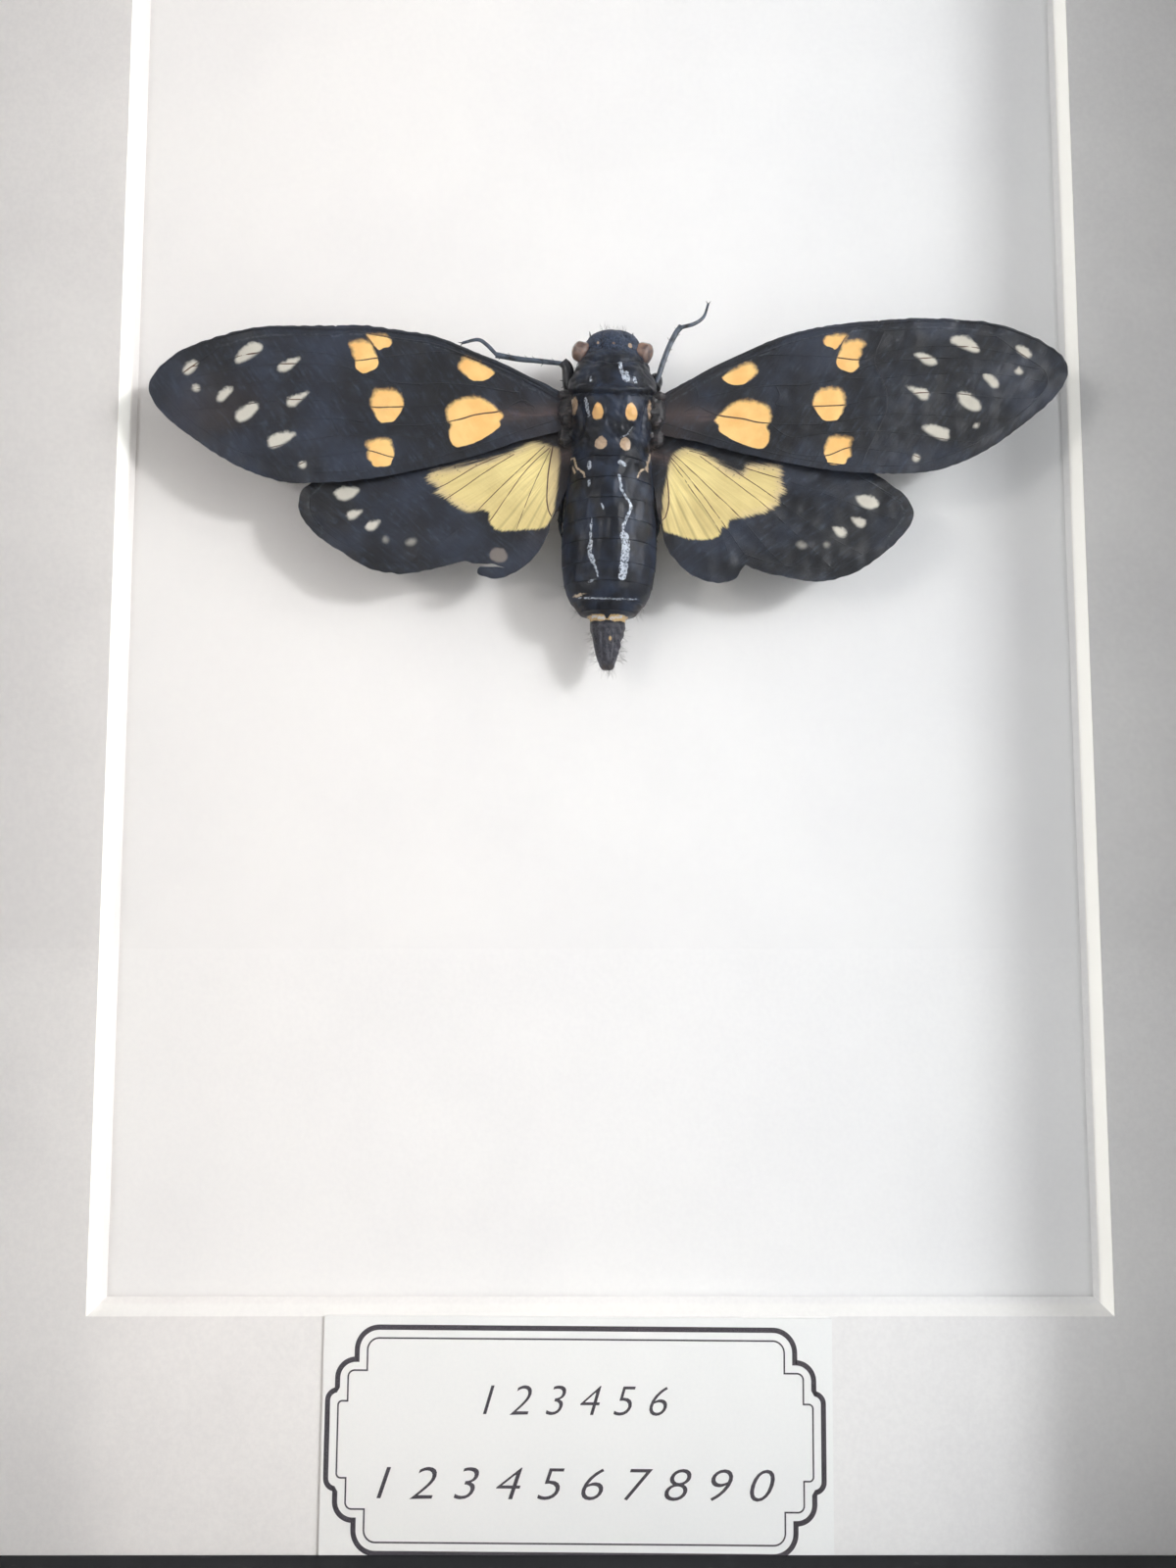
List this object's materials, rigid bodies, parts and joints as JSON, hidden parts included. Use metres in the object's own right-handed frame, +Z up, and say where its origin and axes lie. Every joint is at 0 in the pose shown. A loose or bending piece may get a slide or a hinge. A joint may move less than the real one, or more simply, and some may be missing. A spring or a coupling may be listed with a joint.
{
  "type": "framed cicada specimen",
  "caption": "Deep black box frame with glass, a bevelled white mat and a spread-winged dark cicada with orange, cream and yellow wing markings above a bordered label card.",
  "frame": {"origin": "middle of the underside of the box frame", "axes": "+Z up, -Y out of the glass towards the viewer, +X to the viewer's right"},
  "size_m": [0.17, 0.036, 0.22],
  "materials": {
    "black_lacquer": "gloss",
    "clear_glass": "polished",
    "mat_paper": "matte",
    "mount_paper": "matte",
    "label_card": "matte",
    "dried_insect": "satin",
    "fibreboard": "matte",
    "bright_steel": "satin"
  },
  "bodies": {
    "root": {"frame_rail_bottom": "black_lacquer", "frame_rail_top": "black_lacquer", "frame_rail_left": "black_lacquer", "frame_rail_right": "black_lacquer", "liner_bottom": "black_lacquer", "liner_top": "black_lacquer", "liner_left": "black_lacquer", "liner_right": "black_lacquer", "glass_pane": "clear_glass", "mat_board": "mat_paper", "mount_board": "mount_paper", "label_card": "label_card", "cicada": "dried_insect", "back_panel": "fibreboard", "tab_left_lower": "bright_steel", "tab_left_upper": "bright_steel", "tab_right_lower": "bright_steel", "tab_right_upper": "bright_steel", "tab_bottom_left": "bright_steel", "tab_bottom_right": "bright_steel", "tab_top_left": "bright_steel", "tab_top_right": "bright_steel", "hanger_plate": "bright_steel", "hanger_nail_left": "bright_steel", "hanger_nail_right": "bright_steel"}
  },
  "joints": []
}
